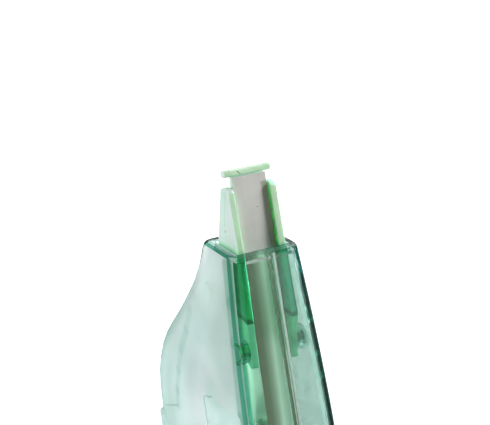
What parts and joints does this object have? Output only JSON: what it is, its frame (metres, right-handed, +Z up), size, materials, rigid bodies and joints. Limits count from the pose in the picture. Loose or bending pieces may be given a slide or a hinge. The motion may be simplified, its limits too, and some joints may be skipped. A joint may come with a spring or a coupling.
{
  "type": "correction tape dispenser",
  "caption": "Clear two-part teardrop case with a narrow neck, a mint applicator head with two cheeks and a cross bar, and geared tape reels inside.",
  "frame": {"origin": "middle of the object's footprint, on the surface that the flat foot stands on", "axes": "+Z up from the foot to the applicator tip; +X to the right across the thickness, along the reel axes; +Y back from the narrow tape edge to the thumb edge"},
  "size_m": [0.014, 0.0436, 0.0774],
  "materials": {
    "clear_teal": "clear teal polystyrene, polished",
    "mint": "mint translucent moulding, satin",
    "pale_green": "pale green moulding, satin",
    "natural": "natural acetal",
    "tape": "dry white correction coat",
    "rolled_tape": "wound correction tape",
    "film": "clear backing film",
    "felt": "dark felt washer"
  },
  "bodies": {
    "housing": {"left_case": "clear_teal", "right_case": "clear_teal", "head": "mint", "feed_tape": "tape", "backing_film": "film", "side_label": "film"},
    "supply_drive": {"supply_gear": "pale_green", "supply_retainer": "natural", "clutch_spring": "natural", "friction_washer": "felt"},
    "spool": {"supply_spool": "mint", "supply_roll": "rolled_tape"},
    "take_up": {"take_up_reel": "pale_green", "take_up_flange": "pale_green", "take_up_roll": "film"},
    "feed_wheel": {"feed_roller": "natural"},
    "return_wheel": {"return_roller": "natural"}
  },
  "joints": [
    {"name": "supply_turn", "type": "hinge", "parent": "housing", "child": "supply_drive", "pos_m": [0, -0.00073, 0.0198], "axis": [1, 0, 0], "continuous": true},
    {"name": "clutch_slip", "type": "hinge", "parent": "supply_drive", "child": "spool", "pos_m": [0, -0.00073, 0.0198], "axis": [1, 0, 0], "continuous": true},
    {"name": "take_up_turn", "type": "hinge", "parent": "housing", "child": "take_up", "pos_m": [0, -0.00365, 0.04135], "axis": [1, 0, 0], "continuous": true},
    {"name": "feed_roller_turn", "type": "hinge", "parent": "housing", "child": "feed_wheel", "pos_m": [0, -0.01393, 0.03371], "axis": [1, 0, 0], "continuous": true},
    {"name": "return_roller_turn", "type": "hinge", "parent": "housing", "child": "return_wheel", "pos_m": [0, -0.00815, 0.0524], "axis": [1, 0, 0], "continuous": true}
  ],
  "couplings": [
    {"joint": "take_up_turn", "follows": "supply_turn", "ratio": -2.625},
    {"joint": "feed_roller_turn", "follows": "supply_turn", "ratio": 7.8117},
    {"joint": "return_roller_turn", "follows": "supply_turn", "ratio": -11.363}
  ]
}
